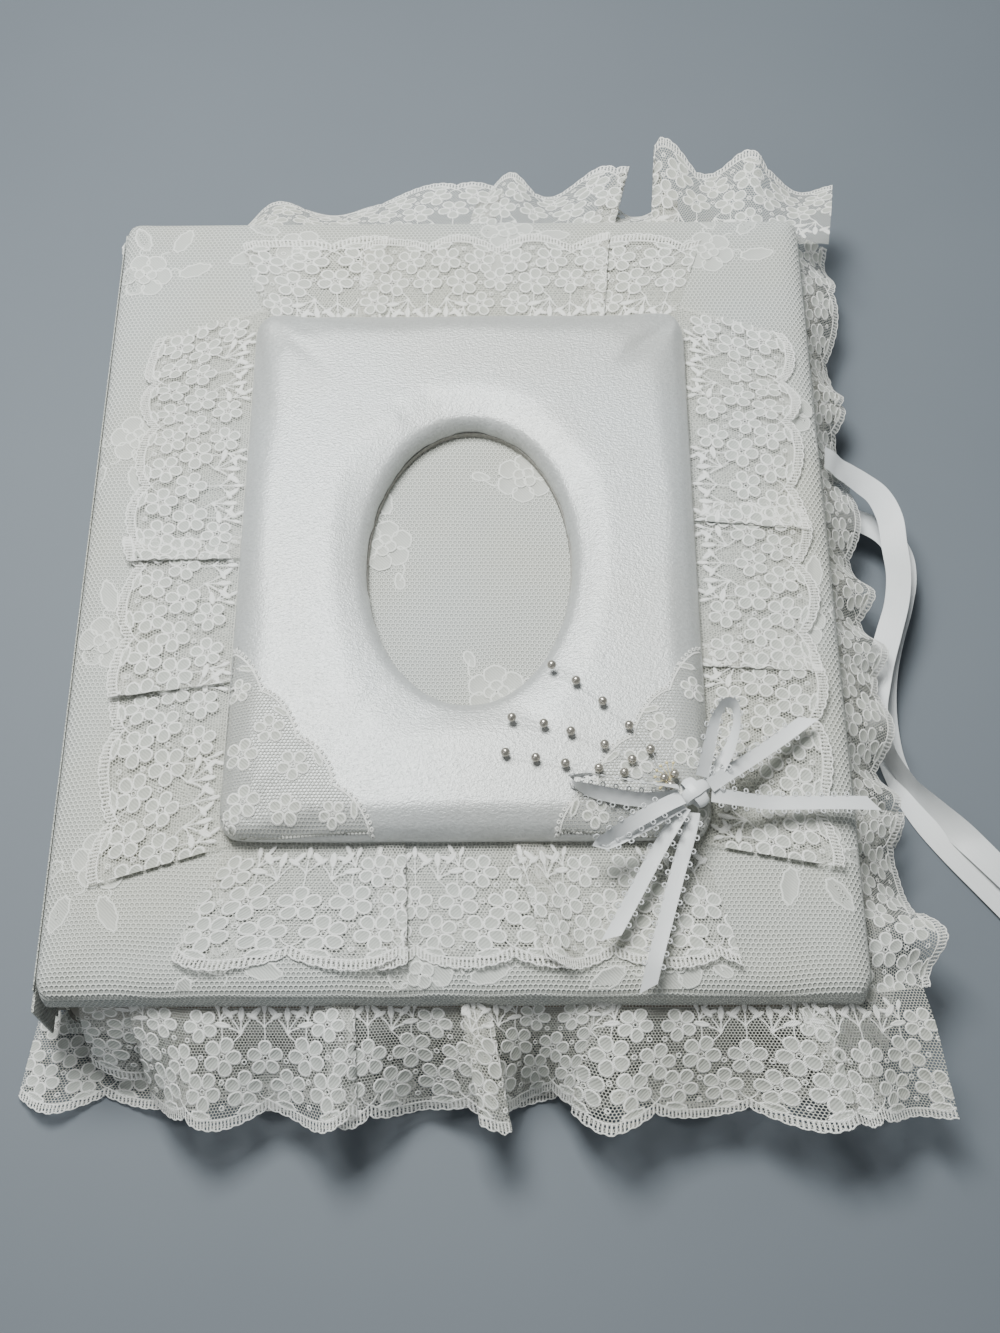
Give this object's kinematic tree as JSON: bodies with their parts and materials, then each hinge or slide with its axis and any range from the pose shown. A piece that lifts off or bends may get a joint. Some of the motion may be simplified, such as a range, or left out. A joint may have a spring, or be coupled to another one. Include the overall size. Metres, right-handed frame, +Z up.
{
  "type": "wedding photo album",
  "caption": "Padded lace-covered wedding photo album with an oval satin frame, ruffles, ribbon bow, ties, rings and leaves.",
  "frame": {"origin": "on the underside of the back cover, at its middle", "axes": "+X from the spine to the fore-edge, +Y from the foot to the head, +Z up out of the front cover with the album lying closed"},
  "size_m": [0.3613, 0.3846, 0.0698],
  "materials": {
    "lace_over_satin": "allover lace stretched over ivory satin",
    "lace": "corded net lace",
    "satin": "crepe-back satin",
    "ribbon": "single-face satin ribbon",
    "batting": "polyester wadding",
    "board": "grey bookbinding board",
    "lining": "moire lining paper",
    "page": "self-adhesive card leaf, tan core",
    "steel": "nickel plate",
    "pearl": "pearlised bead"
  },
  "bodies": {
    "back_cover": {"back_board": "board", "back_cover_skin": "lace_over_satin", "back_lining": "lining", "back_padding": "batting", "back_ruffle_foot": "lace", "back_ruffle_fore": "lace", "back_ruffle_head": "lace", "leaf_1": "page", "leaf_2": "page", "leaf_3": "page", "leaf_4": "page", "ring_1_inner": "steel", "ring_1_outer": "steel", "ring_2_inner": "steel", "ring_2_outer": "steel", "ring_3_inner": "steel", "ring_3_outer": "steel", "ring_plate": "steel", "rivet_1": "steel", "rivet_2": "steel", "tie_ribbon_back": "ribbon"},
    "spine": {"spine_board": "board", "spine_lining": "lining", "spine_skin": "lace_over_satin"},
    "front_cover": {"bow_knot": "ribbon", "bow_loop_foot": "ribbon", "bow_loop_left": "ribbon", "bow_loop_up": "ribbon", "bow_tail_foot": "ribbon", "bow_tail_fore": "ribbon", "bow_tail_left": "ribbon", "bow_tail_up": "ribbon", "corner_lace_fore_side": "lace", "corner_lace_spine_side": "lace", "frame_board": "board", "frame_padding": "batting", "frame_ruffle_foot": "lace", "frame_ruffle_fore_side": "lace", "frame_ruffle_head": "lace", "frame_ruffle_spine_side": "lace", "frame_satin": "satin", "front_board": "board", "front_cover_skin": "lace_over_satin", "front_lining": "lining", "front_padding": "batting", "front_ruffle_foot": "lace", "front_ruffle_fore": "lace", "front_ruffle_head": "lace", "pearl_cluster": "pearl", "pearl_spray_1": "pearl", "pearl_spray_2": "pearl", "pearl_spray_3": "pearl", "tie_ribbon_front": "ribbon"},
    "turned_leaves": {"leaf_5": "page", "leaf_6": "page", "leaf_7": "page", "leaf_8": "page"}
  },
  "joints": [
    {"name": "spine_hinge", "type": "hinge", "parent": "back_cover", "child": "spine", "pos_m": [-0.135, 0, 0.00855], "axis": [0, -1, 0], "range_deg": [0, 44]},
    {"name": "front_cover_hinge", "type": "hinge", "parent": "spine", "child": "front_cover", "pos_m": [-0.135, 0, 0.0355], "axis": [0, -1, 0], "range_deg": [0, 132]},
    {"name": "leaf_turn", "type": "hinge", "parent": "back_cover", "child": "turned_leaves", "pos_m": [-0.113, 0, 0.02085], "axis": [0, -1, 0], "range_deg": [0, 145.5]}
  ],
  "couplings": [
    {"joint": "spine_hinge", "follows": "front_cover_hinge", "ratio": 0.3333},
    {"joint": "leaf_turn", "follows": "front_cover_hinge", "ratio": 1.1}
  ]
}
